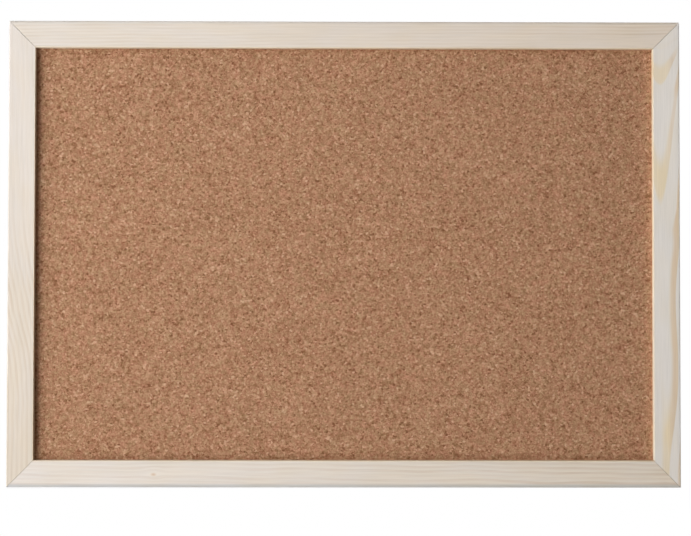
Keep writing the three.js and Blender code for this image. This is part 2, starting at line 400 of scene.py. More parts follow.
def new_group(name, takes, gives):
    """A node group that takes the grain and some values, and gives values back."""
    group = bpy.data.node_groups.new(name, "ShaderNodeTree")
    group.interface.new_socket("Grain", in_out="INPUT", socket_type="NodeSocketVector")
    for socket in takes:
        group.interface.new_socket(socket, in_out="INPUT", socket_type="NodeSocketFloat")
    for socket in gives:
        group.interface.new_socket(socket, in_out="OUTPUT", socket_type="NodeSocketFloat")
    given = group.nodes.new("NodeGroupInput").outputs
    results = group.nodes.new("NodeGroupOutput").inputs
    return group, given, results


def pine_figure_group():
    """Growth rings of sawn pine, and its fibres. Each ring darkens slowly to its latewood and ends
    sharply. Rings lie straight, sweep over, or bow round a heart, taper and wave."""
    takes = (
        "Ring Pitch", "Straight", "Tilt", "Run", "Sweep", "Sweep From", "Sweep To", "Heart", "Bow",
        "Taper", "Taper From", "Wave", "Wave From", "Wave Length", "Phase", "Wander", "Wander Pace",
        "Late Start", "Late Full", "Seed",
    )
    group, given, results = new_group("pine figure", takes, ("Latewood", "Ring", "Fibre"))
    grain = given["Grain"]
    along, across, depth = place(group, "ShaderNodeSeparateXYZ", {0: grain}).outputs
    pace = calc(group, "MULTIPLY", along, given["Wander Pace"])
    paced = place(group, "ShaderNodeCombineXYZ", {0: pace}).outputs[0]
    slow = vector_calc(group, "ADD", stretched(group, grain, DRIFT_PACE), paced)
    sockets = {"Vector": slow, "W": given["Seed"], "Scale": 1.0, "Detail": 2.0}
    drift = place(group, "ShaderNodeTexNoise", sockets, noise_dimensions="4D").outputs[0]
    sweep = spread(group, along, given["Sweep From"], given["Sweep To"])
    swept = calc(group, "MULTIPLY", sweep, given["Sweep"])
    lay = swept
    for way, share in ((across, "Straight"), (depth, "Tilt"), (along, "Run")):
        lay = calc(group, "ADD", lay, calc(group, "MULTIPLY", way, given[share]))
    past = calc(group, "MAXIMUM", calc(group, "SUBTRACT", along, given["Wave From"]), 0.0)
    turns = calc(group, "DIVIDE", past, given["Wave Length"])
    swing = calc(group, "SINE", calc(group, "MULTIPLY", turns, 2 * math.pi))
    steadied = calc(group, "SUBTRACT", across, calc(group, "MULTIPLY", swing, given["Wave"]))
    off_heart = calc(group, "ADD", calc(group, "SUBTRACT", steadied, given["Heart"]), swept)
    reach = calc(group, "SUBTRACT", along, given["Taper From"])
    reach = calc(group, "MAXIMUM", reach, TAPER_NEAREST)
    rings = RINGS_BEFORE
    for term in (
        calc(group, "DIVIDE", lay, given["Ring Pitch"]),
        calc(group, "MULTIPLY", calc(group, "MULTIPLY", off_heart, off_heart), given["Bow"]),
        calc(group, "MULTIPLY", calc(group, "LOGARITHM", reach, math.e), given["Taper"]),
        calc(group, "MULTIPLY", calc(group, "SUBTRACT", drift, 0.5), given["Wander"]),
        given["Phase"],
    ):
        rings = calc(group, "ADD", rings, term)
    phase = calc(group, "FRACT", rings)
    rise = spread(group, phase, given["Late Start"], given["Late Full"])
    fall = spread(group, phase, RING_END, 1.0, 1.0, 0.0)
    which = calc(group, "ADD", calc(group, "FLOOR", rings), given["Seed"])
    each = place(group, "ShaderNodeTexWhiteNoise", {"W": which}, noise_dimensions="1D")
    fibre = mottled(group, stretched(group, grain, FIBRE_PACE), 3.0)
    group.links.new(calc(group, "MULTIPLY", rise, fall), results["Latewood"])
    group.links.new(each.outputs["Value"], results["Ring"])
    group.links.new(fibre, results["Fibre"])
    return group


def pine_wear_group():
    """Slow changes of tone in bare pine, and its edges. The outer arris gets painted shade, a bluish
    grey. The inner one is yellower, partly the newly cut wood and partly painted bounce light, and
    the face of the lip behind it gets painted shade warmed by painted bounce light off the cork."""
    gives = ("Ebb", "Patch", "Shading", "Arris Shade", "Fresh Cut And Bounce", "Lip Face Shade And Bounce")
    group, given, results = new_group("pine wear", ("Arris Shade", "Arris Shade Width"), gives)
    grain = given["Grain"]
    _, across, depth = place(group, "ShaderNodeSeparateXYZ", {0: grain}).outputs
    ebb = mottled(group, stretched(group, grain, EBB_PACE), 1.0)
    patch = mottled(group, stretched(group, grain, PATCH_PACE), 1.0)
    cloud = mottled(group, stretched(group, grain, CLOUD_PACE), 2.0)
    section = place(group, "ShaderNodeCombineXYZ", {0: across, 1: depth}).outputs[0]
    off_arris = length_of(group, section)
    # Painted shade on the outer arris, fading away from it and patchy along the rail.
    arris_shaded = spread(group, off_arris, OUTER_ARRIS, given["Arris Shade Width"], given["Arris Shade"], 0.0)
    rubbed = evenly(group, cloud, *NOISE_SPAN, *SHADE_PATCHES)
    # Yellower along the inner arris: partly newly cut wood, partly painted bounce light.
    fresh_and_bounce = spread(group, across, RAIL_WIDTH - FRESH_AND_BOUNCE_WIDTH, RAIL_WIDTH - INNER_ARRIS)
    # The lip's inner face behind the arris, which gets painted shade and painted bounce light.
    behind = spread(group, depth, LIP_FACE_FROM, LIP_FACE_FULL)
    group.links.new(ebb, results["Ebb"])
    group.links.new(spread(group, patch, *NOISE_MIDDLE), results["Patch"])
    group.links.new(evenly(group, cloud, *NOISE_SPAN, *SLOW_SHADING), results["Shading"])
    group.links.new(calc(group, "MULTIPLY", arris_shaded, rubbed), results["Arris Shade"])
    group.links.new(fresh_and_bounce, results["Fresh Cut And Bounce"])
    group.links.new(calc(group, "MULTIPLY", fresh_and_bounce, behind), results["Lip Face Shade And Bounce"])
    return group


pine_figure = pine_figure_group()
pine_wear = pine_wear_group()


def changing(tree, along, length, stops):
    """How strongly the rings show and where their latewood starts, from stop to stop along a rail."""
    ramp = place(tree, "ShaderNodeValToRGB", {0: evenly(tree, along, -length / 2, length / 2)})
    marks = ramp.color_ramp.elements
    while len(marks) < len(stops):
        marks.new(1.0)
    for mark, (at, strength, start) in zip(marks, stops):
        mark.position = at / length
        mark.color = (strength, start, 0.0, 1.0)
    return place(tree, "ShaderNodeSeparateColor", {0: ramp.outputs[0]}).outputs[:2]


def pine_finish(
    side,
    early,
    late,
    late_yellow,
    figure,
    stops,
    ends,
    arris_shading,
    uneven=0.45,
    bare=None,
    yellower=None,
    knot=None,
):
    """Bare pine for one rail, its grain lying along it. A stop is a place in metres from the rail's
    start, the strength of the rings there, and the share of a ring where its latewood starts."""
    node, length, turn, edge = RAIL_SIDES[side]
    material, tree, shader = new_finish("pine_" + node)
    sockets = {
        "Vector": object_place(tree),
        "Rotation": (math.pi / 2, 0, -turn),
        "Location": (0, Vector(edge).length, RAIL_DEPTH),
    }
    grain = place(tree, "ShaderNodeMapping", sockets).outputs[0]
    along, across, _ = place(tree, "ShaderNodeSeparateXYZ", {0: grain}).outputs
    figured = grain
    if knot:
        knot_along, knot_across, knot_radius, knot_tone = knot
        off = vector_calc(tree, "SUBTRACT", grain, (knot_along, knot_across, 0))
        from_knot = length_of(tree, stretched(tree, off, KNOT_OVAL))
        push = spread(tree, from_knot, 0.0, KNOT_REACH * knot_radius, KNOT_PUSH, 0.0)
        sideways = stretched(tree, stretched(tree, off, (0, 1, 0)), push)
        figured = vector_calc(tree, "SUBTRACT", grain, sideways)
    show, start = changing(tree, along, length, stops)
    full = evenly(tree, start, 0.0, 1.0, *LATE_FULL)
    sockets = {"Grain": figured, "Late Start": start, "Late Full": full, **figure}
    rings = place(tree, "ShaderNodeGroup", sockets, node_tree=pine_figure).outputs
    arris_shade, arris_shade_width = arris_shading
    sockets = {"Grain": grain, "Arris Shade": arris_shade, "Arris Shade Width": arris_shade_width}
    wear = place(tree, "ShaderNodeGroup", sockets, node_tree=pine_wear).outputs

    fainter = evenly(tree, rings["Ring"], 0.0, 1.0, 1.0, 1.0 - uneven)
    strength = calc(tree, "MULTIPLY", rings["Latewood"], fainter)
    ebbing = spread(tree, wear["Ebb"], *NOISE_MIDDLE, 1.0 - uneven, EBB_HIGHEST)
    strength = calc(tree, "MULTIPLY", strength, ebbing)
    strength = calc(tree, "MULTIPLY", strength, show)
    if bare:
        bare_along, bare_across = bare
        below = spread(tree, along, *bare_along)
        inside = spread(tree, across, *bare_across)
        left_over = calc(tree, "SUBTRACT", 1.0, calc(tree, "MULTIPLY", below, inside))
        strength = calc(tree, "MULTIPLY", strength, left_over)
    yellow = spread(tree, across, *yellower) if yellower else rings["Ring"]
    wood = tinted(tree, strength, early, tinted(tree, yellow, late, late_yellow))
    # Painted light: each rail is lighter and bluer at the end nearer the lamps at the upper left, and
    # darker and warmer at its other end.
    painted_end_light = tinted(tree, evenly(tree, along, -length / 2, length / 2), *ends)
    colour = tinted(tree, 1.0, wood, painted_end_light, "MULTIPLY")
    colour = tinted(tree, wear["Patch"], colour, WARM_PATCH, "MULTIPLY")
    threads = evenly(tree, rings["Fibre"], *NOISE_SPAN, *FIBRE_SHADING)
    shading = calc(tree, "MULTIPLY", wear["Shading"], threads)
    colour = tinted(tree, 1.0, colour, shading, "MULTIPLY")
    if knot:
        darkness = spread(tree, from_knot, 0.0, knot_radius, KNOT_DARKNESS, 0.0)
        colour = tinted(tree, darkness, colour, knot_tone)
    # Painted shade along the outer arris.
    colour = tinted(tree, wear["Arris Shade"], colour, ARRIS_SHADE_TINT, "MULTIPLY")
    # Inner arris: partly newly cut wood, partly painted bounce light.
    colour = tinted(tree, wear["Fresh Cut And Bounce"], colour, FRESH_CUT_AND_BOUNCE, "MULTIPLY")
    # Lip face: painted shade with painted warm bounce light off the cork.
    colour = tinted(tree, wear["Lip Face Shade And Bounce"], colour, LIP_FACE_SHADE_AND_BOUNCE, "MULTIPLY")
    tree.links.new(colour, shader.inputs["Base Color"])
    dullness = evenly(tree, rings["Fibre"], *NOISE_SPAN, *PINE_DULLNESS)
    tree.links.new(dullness, shader.inputs["Roughness"])
    shader.inputs["Specular IOR Level"].default_value = PINE_SPECULAR
    ridges = calc(tree, "MULTIPLY", rings["Latewood"], LATE_RIDGE)
    roughened(tree, shader, calc(tree, "ADD", rings["Fibre"], ridges), *PINE_RELIEF)
    return material


# Painted light: ends lighter and bluer to the upper left; painted arris shade deepest at the bottom.
RAIL_LOOKS = {
    "top": dict(
        early=tone(228, 217, 205),
        late=tone(218, 203, 186),
        late_yellow=tone(223, 209, 192),
        figure={
            "Ring Pitch": 0.0025,
            "Straight": 1.0,
            "Tilt": 0.55,
            "Run": 0.006,
            "Wander": 1.5,
            "Wander Pace": 12.0,
            "Seed": 3.1,
        },
        stops=[
            (0.0, 0.7, 0.35),
            (0.12, 0.6, 0.35),
            (0.2, 0.4, 0.3),
            (0.36, 0.6, 0.3),
            (0.42, 1.0, 0.4),
        ],
        ends=((1.0, 1.03, 1.075, 1.0), (1.02, 1.0, 0.98, 1.0)),
        arris_shading=(0.4, 0.0026),
        bare=((0.1, 0.16), (0.009, 0.012)),
    ),
    "bottom": dict(
        early=tone(229, 219, 207),
        late=tone(218, 203, 188),
        late_yellow=tone(222, 208, 193),
        figure={
            "Ring Pitch": 0.0033,
            "Straight": 1.0,
            "Tilt": -0.4,
            "Run": -0.012,
            "Wander": 2.0,
            "Wander Pace": 12.0,
            "Seed": 7.4,
        },
        stops=[
            (0.0, 1.3, 0.3),
            (0.07, 1.1, 0.3),
            (0.2, 0.8, 0.3),
            (0.3, 0.6, 0.3),
            (0.489, 0.6, 0.3),
        ],
        ends=((0.99, 0.98, 0.96, 1.0), (1.03, 1.055, 1.115, 1.0)),
        arris_shading=(1.0, 0.0036),
        knot=(0.138, 0.0094, 0.0018, tone(205, 170, 130)),
    ),
    "left": dict(
        early=tone(225, 215, 204),
        late=tone(214, 200, 184),
        late_yellow=tone(219, 205, 189),
        figure={
            "Ring Pitch": 0.0036,
            "Straight": 1.0,
            "Tilt": 0.35,
            "Run": 0.01,
            "Sweep": 0.02,
            "Sweep From": -0.1,
            "Sweep To": 0.03,
            "Wander": 2.0,
            "Wander Pace": 20.0,
            "Seed": 1.7,
        },
        stops=[
            (0.0, 0.7, 0.35),
            (0.14, 0.9, 0.35),
            (0.2, 0.35, 0.3),
            (0.339, 0.25, 0.3),
        ],
        ends=((0.98, 0.965, 0.935, 1.0), (1.04, 1.065, 1.12, 1.0)),
        arris_shading=(0.15, 0.002),
    ),
    "right": dict(
        early=tone(233, 227, 220),
        late=tone(225, 204, 177),
        late_yellow=tone(235, 219, 190),
        figure={
            "Ring Pitch": 1.0,
            "Tilt": 260.0,
            "Heart": 0.0142,
            "Bow": 5300.0,
            "Taper": 0.85,
            "Taper From": -0.1615,
            "Sweep": 0.0018,
            "Sweep From": -0.03,
            "Sweep To": 0.0,
            "Wave": 0.002,
            "Wave From": -0.0085,
            "Wave Length": 0.135,
            "Phase": 0.736,
            "Wander": 0.2,
            "Wander Pace": 11.0,
            "Seed": 5.0,
        },
        stops=[
            (0.0, 0.0, 0.5),
            (0.019, 0.1, 0.5),
            (0.028, 0.8, 0.48),
            (0.048, 0.9, 0.5),
            (0.056, 0.45, 0.64),
            (0.088, 0.55, 0.64),
            (0.11, 0.9, 0.64),
            (0.137, 0.95, 0.64),
            (0.152, 1.0, 0.33),
            (0.2, 1.0, 0.45),
            (0.24, 1.0, 0.57),
            (0.29, 1.0, 0.6),
            (0.325, 0.9, 0.48),
        ],
        ends=((1.03, 1.035, 1.045, 1.0), (1.0, 1.0, 1.01, 1.0)),
        arris_shading=(0.25, 0.0026),
        uneven=0.1,
        bare=((-0.03, 0.02), (0.011, 0.015)),
        yellower=(0.005, 0.010),
    ),
}

noise.seed_set(WAVER_SEED)
for side, (node, length, turn, _) in RAIL_SIDES.items():
    rail = finished(mitred_rail(length), node + "_wood")
    take_out(rail, fastener_slots(side))
    for vertex in rail.data.vertices:
        spot = vertex.co * WAVER_PACE + Vector((0, 0, turn * WAVER_SHIFT))
        vertex.co += noise.noise_vector(spot) * HAND_WAVER
    rail.data.transform(at_side(side))
    shade(rail.data)
    keep_flats(rail)
    rail.data.materials.clear()
    rail.data.materials.append(pine_finish(side, **RAIL_LOOKS[side]))
    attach(rail, "board")
    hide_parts(node)

# V nails. Bent strips of zinc plated steel, pressed across each mitre from behind while the glue
# sets. Only their top edges show, just under the wood.
STAMPED_EASE = 0.00008
EASE_ABOVE = 40
EASE_SEGMENTS = 2
ZINC_TONES = (tone(160, 163, 167), tone(190, 190, 188))
ZINC_BLOOM_SCALE = 420.0
ZINC_RUB_SCALE = 2600.0
ZINC_DULLNESS = (0.26, 0.46)
ZINC_RELIEF = (0.12, 0.00002)
V_NAIL_CORNERS = {
    "top": "top_left",
    "bottom": "bottom_right",
    "left": "bottom_left",
    "right": "top_right",
}


def ease(bm, radius):
    """Takes the sharpness off every corner edge of a small pressed piece."""
    bmesh.ops.recalc_face_normals(bm, faces=bm.faces)
    sharp = [edge for edge in bm.edges if edge.calc_face_angle(0.0) > math.radians(EASE_ABOVE)]
    round_over(bm, sharp, radius, EASE_SEGMENTS)


def zinc_finish():
    """Zinc plate with a faint grey bloom, rubbed duller and brighter in spots."""
    material, tree, shader = new_finish("zinc_plate")
    board = object_place(tree)
    bloom = mottled(tree, board, 4.0, ZINC_BLOOM_SCALE)
    rubbed = mottled(tree, board, 2.0, ZINC_RUB_SCALE)
    colour = tinted(tree, evenly(tree, bloom, *NOISE_MIDDLE), *ZINC_TONES)
    tree.links.new(colour, shader.inputs["Base Color"])
    dullness = evenly(tree, rubbed, *NOISE_SPAN, *ZINC_DULLNESS)
    tree.links.new(dullness, shader.inputs["Roughness"])
    shader.inputs["Metallic"].default_value = 1.0
    roughened(tree, shader, rubbed, *ZINC_RELIEF)
    return material


zinc = zinc_finish()


def zinc_piece(piece, node, body="board"):
    piece.data.materials.clear()
    piece.data.materials.append(zinc)
    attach(piece, body)
    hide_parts(node)


for side, corner in V_NAIL_CORNERS.items():
    for number, inset in enumerate(V_NAIL_INSETS, 1):
        node = f"v_nail_{corner}_{number}"
        bm = bmesh.new()
        plan = v_nail_plan(inset - RAIL_SIDES[side][1] / 2, inset, 1, -DRIVEN_GAP)
        slab(bm, plan, (0, -V_NAIL_DEPTH, 0))
        ease(bm, STAMPED_EASE)
        bmesh.ops.transform(bm, matrix=at_side(side), verts=bm.verts)
        zinc_piece(finished(bm, node + "_strip"), node)

# Cork face. A sheet of fine agglomerated cork, granules pressed together with a binder and sanded
# level, so that each granule shows its own tone and stands a hair above or below its neighbours.
CORK_STEP = 0.00125
CORK_RELIEF = 0.00005
CORK_SMOOTH_BELOW = 60
FINE_GRIT = 640
COARSE_GRIT = 290
COARSE_SHARE = 0.7
GRANULE_SCALE = 720.0
CRUMB_SCALE = 1400.0
TEAR_SCALE = 1500.0
TEAR_REACH = 0.0011
HUE_SCALE = 170.0
CLOUD_SCALE = 38.0
LIGHT_SHARES = (0.55, 0.45)
LIGHT_SPAN = (0.06, 0.94)
HUE_SHARES = (0.45, 1.2)
HUE_SPAN = (0.5, 1.15)
CORK_SHADING = (0.975, 1.025)
PINK_TONES = (tone(138, 87, 60), tone(204, 154, 125))
OLIVE_TONES = (tone(132, 93, 61), tone(197, 160, 125))
BARK_TONE = tone(104, 58, 36)
BARK_BELOW = 0.08
BARK_STRENGTH = 0.45
PALE_TONE = tone(226, 192, 164)
PALE_ABOVE = 0.93
PALE_STRENGTH = 0.38
CORK_DULLNESS = (0.82, 0.96)
CORK_SPECULAR = 0.05
STEP_SHARES = (0.6, 0.4)
STEP_RELIEF = (0.5, 0.00008)


def mixed(tree, a, b, shares):
    """Two values added up, each with its share."""
    a = calc(tree, "MULTIPLY", a, shares[0])
    b = calc(tree, "MULTIPLY", b, shares[1])
    return calc(tree, "ADD", a, b)


def cork_cells(tree, vector, scale):
    """Three random values for each granule."""
    sockets = {"Vector": vector, "Scale": scale, "Randomness": 1.0}
    cells = place(tree, "ShaderNodeTexVoronoi", sockets)
    return place(tree, "ShaderNodeSeparateColor", {0: cells.outputs["Color"]}).outputs


def cork_finish():
    """Granules and crumbs with torn edges, bark brown to pale, in pink and olive patches."""
    material, tree, shader = new_finish("cork")
    board = object_place(tree)
    sockets = {"Vector": board, "Scale": TEAR_SCALE, "Detail": 3.0}
    tear = place(tree, "ShaderNodeTexNoise", sockets).outputs["Color"]
    shift = vector_calc(tree, "SUBTRACT", tear, (0.5, 0.5, 0.5))
    shift = stretched(tree, shift, (TEAR_REACH, TEAR_REACH, TEAR_REACH))
    ragged = vector_calc(tree, "ADD", board, shift)
    granule = cork_cells(tree, ragged, GRANULE_SCALE)
    crumb = cork_cells(tree, ragged, CRUMB_SCALE)
    light = evenly(tree, mixed(tree, granule[0], crumb[0], LIGHT_SHARES), *LIGHT_SPAN)
    pink = tinted(tree, light, *PINK_TONES)
    olive = tinted(tree, light, *OLIVE_TONES)
    hue = mixed(tree, granule[1], mottled(tree, board, 3.0, HUE_SCALE), HUE_SHARES)
    colour = tinted(tree, evenly(tree, hue, *HUE_SPAN), pink, olive)
    cloud = evenly(tree, mottled(tree, board, 4.0, CLOUD_SCALE), *NOISE_SPAN, *CORK_SHADING)
    colour = tinted(tree, 1.0, colour, cloud, "MULTIPLY")
    dark = evenly(tree, granule[0], 0.0, BARK_BELOW, BARK_STRENGTH, 0.0)
    colour = tinted(tree, dark, colour, BARK_TONE)
    pale = evenly(tree, granule[0], PALE_ABOVE, 1.0, 0.0, PALE_STRENGTH)
    colour = tinted(tree, pale, colour, PALE_TONE)
    tree.links.new(colour, shader.inputs["Base Color"])
    tree.links.new(evenly(tree, crumb[1], 0.0, 1.0, *CORK_DULLNESS), shader.inputs["Roughness"])
    shader.inputs["Specular IOR Level"].default_value = CORK_SPECULAR
    roughened(tree, shader, mixed(tree, granule[2], crumb[2], STEP_SHARES), *STEP_RELIEF)
    return material


low, high = (Vector(corner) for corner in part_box("cork_sheet"))
size = high - low
bm = bmesh.new()
bmesh.ops.create_grid(
    bm,
    x_segments=round(size.x / CORK_STEP),
    y_segments=round(size.z / CORK_STEP),
    size=0.5,
)
bmesh.ops.scale(bm, vec=(size.x, size.z, 1), verts=bm.verts)
bmesh.ops.rotate(bm, matrix=Matrix.Rotation(math.pi / 2, 3, "X"), verts=bm.verts)
bmesh.ops.translate(bm, vec=(0, low.y, 0), verts=bm.verts)
rim = [edge for edge in bm.edges if edge.is_boundary]
inner = [vertex for vertex in bm.verts if not vertex.is_boundary]
for vertex in inner:
    coarse = noise.noise(vertex.co * COARSE_GRIT)
    grit = noise.noise(vertex.co * FINE_GRIT) + COARSE_SHARE * coarse
    vertex.co.y += CORK_RELIEF * (grit + 1.0)
walls = bmesh.ops.extrude_edge_only(bm, edges=rim)["geom"]
bmesh.ops.translate(bm, vec=(0, size.y, 0), verts=verts_of(walls))
bmesh.ops.holes_fill(bm, edges=[edge for edge in bm.edges if edge.is_boundary])
cork_face = finished(bm, "cork_face", CORK_SMOOTH_BELOW)
cork_face.data.materials.append(cork_finish())
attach(cork_face, "board")
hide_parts("cork_sheet")

# Softboard core. Soft, felted wood fibre behind the cork, which gives a pin its depth. It stays as
# the plain sawn sheet, with its fibres and darker flecks.
FELT_PACE = (900, 2400, 900)
FELT_TONES = (tone(158, 126, 88), tone(198, 170, 130))
FELT_RELIEF = (0.6, 0.0002)
FLECK_PACE = (500, 1500, 350)
FLECK_SPAN = (0.05, 0.25)
FLECK_STRENGTH = 0.5
FLECK_TONE = tone(120, 88, 56)

core_finish, tree, shader = new_finish("softboard")
board = object_place(tree)
felt = mottled(tree, stretched(tree, board, FELT_PACE), 5.0)
sockets = {"Vector": stretched(tree, board, FLECK_PACE), "Scale": 1.0}
flecks = place(tree, "ShaderNodeTexVoronoi", sockets).outputs["Distance"]
colour = tinted(tree, spread(tree, felt, *NOISE_SPAN), *FELT_TONES)
fleck = spread(tree, flecks, *FLECK_SPAN, FLECK_STRENGTH, 0.0)
colour = tinted(tree, fleck, colour, FLECK_TONE)
tree.links.new(colour, shader.inputs["Base Color"])
shader.inputs["Roughness"].default_value = 0.95
shader.inputs["Specular IOR Level"].default_value = 0.1
roughened(tree, shader, felt, *FELT_RELIEF)
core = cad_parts["softboard_core"]
core.data.materials.clear()
core.data.materials.append(core_finish)

# Hardboard back. A thin sheet of wood fibre pressed hard and dark, smooth side out, sawn to size
# and laid on the core. Its sawn edges are a little rounded.
SAWN_EASE = 0.0004
PULP_SCALE = 2600.0
PULP_TONES = (tone(116, 82, 53), tone(140, 101, 68))
PULP_RELIEF = (0.4, 0.00006)
CLUMP_SCALE = 480.0
CLUMP_SPAN = (0.4, 0.7)
CLUMP_STRENGTH = 0.3
CLUMP_TONE = tone(100, 68, 43)
PRESS_SCALE = 22.0
PRESS_SPAN = (0.35, 0.7)
PRESS_STRENGTH = 0.22
PRESS_TONE = tone(104, 72, 46)
PRESS_DULLNESS = (0.42, 0.62)
HAIR_PACES = ((260, 1, 1900), (2100, 1, 300))
HAIR_SPAN = (0.6, 0.74)
HAIR_STRENGTH = 0.4
HAIR_TONE = tone(160, 121, 86)

back_finish, tree, shader = new_finish("hardboard")
board = object_place(tree)
pulp = mottled(tree, board, 4.0, PULP_SCALE)
clump = mottled(tree, board, 4.0, CLUMP_SCALE)
press = mottled(tree, board, 4.0, PRESS_SCALE)
colour = tinted(tree, spread(tree, pulp, *NOISE_SPAN), *PULP_TONES)
clumped = spread(tree, clump, *CLUMP_SPAN, 0.0, CLUMP_STRENGTH)
colour = tinted(tree, clumped, colour, CLUMP_TONE)
pressed = spread(tree, press, *PRESS_SPAN, 0.0, PRESS_STRENGTH)
colour = tinted(tree, pressed, colour, PRESS_TONE)
for pace in HAIR_PACES:
    hairs = mottled(tree, stretched(tree, board, pace), 2.0)
    hairy = spread(tree, hairs, *HAIR_SPAN, 0.0, HAIR_STRENGTH)
    colour = tinted(tree, hairy, colour, HAIR_TONE)
tree.links.new(colour, shader.inputs["Base Color"])
dullness = evenly(tree, press, *NOISE_SPAN, *PRESS_DULLNESS)
tree.links.new(dullness, shader.inputs["Roughness"])
roughened(tree, shader, pulp, *PULP_RELIEF)

low, high = (Vector(corner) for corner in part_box("hardboard_back"))
sheet = [
    (low.x, low.y, low.z),
    (high.x, low.y, low.z),
    (high.x, low.y, high.z),
    (low.x, low.y, high.z),
]
bm = bmesh.new()
slab(bm, sheet, (0, high.y - low.y, 0))
ease(bm, SAWN_EASE)
hardboard = finished(bm, "hardboard_sheet")
keep_flats(hardboard)
hardboard.data.materials.append(back_finish)
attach(hardboard, "board")
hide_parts("hardboard_back")

# Panel points. Flat steel darts, pushed into the rebate's wall by a hand driver so that their tails
# lie on the hardboard and hold the panel in.
POINT_TAIL_RADIUS = 0.0012
POINT_TAIL_SEGMENTS = 5


def corner_edges(bm, z):
    """The edges through the thickness of a flat piece, at one end of it."""
    found = []
    for edge in bm.edges:
        a, b = (vertex.co for vertex in edge.verts)
        if near(a.z, z) and not near(a.y, b.y):
            found.append(edge)
    return found


for side, nodes in point_nodes.items():
    for node in nodes:
        bm = bmesh.new()
        slab(bm, point_plan(along_rail(node, side), panel_back), (0, POINT_THICKNESS, 0))
        tail = corner_edges(bm, -LAND_WIDTH - POINT_REACH)
        round_over(bm, tail, POINT_TAIL_RADIUS, POINT_TAIL_SEGMENTS)
        ease(bm, STAMPED_EASE)
        bmesh.ops.transform(bm, matrix=at_side(side), verts=bm.verts)
        zinc_piece(finished(bm, node + "_dart"), node)

# Hangers. A strap of zinc plated steel is curled round the bar of a bent wire ring and held to the
# stile by one cross head screw. The ring swings in the curl.
STRAP_WIDTH = 0.009
STRAP_THICKNESS = 0.001
STRAP_EASE = 0.00012
STRAP_TAIL_FLAT = 0.0001
STRAP_TAIL_SEGMENTS = 10
STRAP_HOLE = 0.00175
PUNCH_LENGTH = 0.006
PUNCH_SIDES = 32
CURL_DEGREES = 300
CURL_STEPS = 24
RING_WIRE = 0.0011
RING_PLAY = 0.0003
RING_HALF = 0.008
RING_CORNER = 0.0025
RING_LEG = 0.004
RING_BUTT = 0.0002
WIRE_SIDES = 16
CORNER_STEPS = 8
BOW_STEPS = 28
LOOP_OVERHANG = 0.0045
LOOP_RADIUS = RING_WIRE + RING_PLAY + STRAP_THICKNESS
LOOP_Z = -LAND_WIDTH - LOOP_OVERHANG
SCREW_HEAD = 0.00275
SCREW_HEAD_HEIGHT = 0.002
SCREW_HEAD_RIM = 0.0005
SCREW_HEAD_EASE = 0.0002
SCREW_CORE = 0.001
SCREW_PITCH = 0.0013
SCREW_TURNS = 7
SCREW_STEPS = 40
DOME_STEPS = 8
RECESS_ARM = (0.0034, 0.0022, 0.0009)
RECESS_TURN = 0.35
SAME_POINT = 1e-7


def only_face(geom):
    return next(part for part in geom if isinstance(part, bmesh.types.BMFace))


def drawn_on(bm, end, run):
    """Pulls an end face straight on, and returns the new end."""
    pulled = bmesh.ops.extrude_face_region(bm, geom=[end])["geom"]
    bmesh.ops.translate(bm, vec=run, verts=verts_of(pulled))
    return only_face(pulled)


def bent_round(bm, end, centre, axis, degrees, steps):
    """Pulls an end face round a bend, and returns the new end."""
    bend = bmesh.ops.spin(
        bm,
        geom=[end],
        cent=centre,
        axis=axis,
        angle=math.radians(degrees),
        steps=steps,
        use_duplicate=False,
    )
    return only_face(bend["geom_last"])


def hanger_strap(along, name):
    """A flat strip with a round tail, curled at its other end and punched for the screw."""
    half = STRAP_WIDTH / 2
    tail = half - SCREW_INSET
    strip = [
        (along - half, 0, LOOP_Z),
        (along + half, 0, LOOP_Z),
        (along + half, 0, tail),
        (along - half, 0, tail),
    ]
    bm = bmesh.new()
    slab(bm, strip, (0, STRAP_THICKNESS, 0))
    round_over(bm, corner_edges(bm, tail), half - STRAP_TAIL_FLAT, STRAP_TAIL_SEGMENTS)
    end = next(face for face in bm.faces if all(near(v.co.z, LOOP_Z) for v in face.verts))
    bent_round(bm, end, (along, LOOP_RADIUS, LOOP_Z), (1, 0, 0), CURL_DEGREES, CURL_STEPS)
    ease(bm, STRAP_EASE)
    strap = finished(bm, name)
    bm = bmesh.new()
    round_bit(bm, along, 0, STRAP_HOLE, PUNCH_LENGTH, PUNCH_SIDES)
    take_out(strap, finished(bm, "strap_punch"))
    return strap


def hanger_ring(along, name):
    """A wire bent from the middle of its bar round the D and back, so that its ends nearly meet."""
    bar = RING_HALF - RING_CORNER
    bend_z = LOOP_Z - RING_CORNER
    bow_z = bend_z - RING_LEG
    start = Matrix.Translation((along + RING_BUTT, LOOP_RADIUS, LOOP_Z))
    start = start @ Matrix.Rotation(math.pi / 2, 4, "Y")
    round_y = (0, 1, 0)
    bm = bmesh.new()
    bmesh.ops.create_circle(bm, cap_ends=True, segments=WIRE_SIDES, radius=RING_WIRE, matrix=start)
    end = bm.faces[:][0]
    end = drawn_on(bm, end, (bar - RING_BUTT, 0, 0))
    end = bent_round(bm, end, (along + bar, LOOP_RADIUS, bend_z), round_y, 90, CORNER_STEPS)
    end = drawn_on(bm, end, (0, 0, -RING_LEG))
    end = bent_round(bm, end, (along, LOOP_RADIUS, bow_z), round_y, 180, BOW_STEPS)
    end = drawn_on(bm, end, (0, 0, RING_LEG))
    end = bent_round(bm, end, (along - bar, LOOP_RADIUS, bend_z), round_y, 90, CORNER_STEPS)
    drawn_on(bm, end, (bar - RING_BUTT, 0, 0))
    return finished(bm, name)


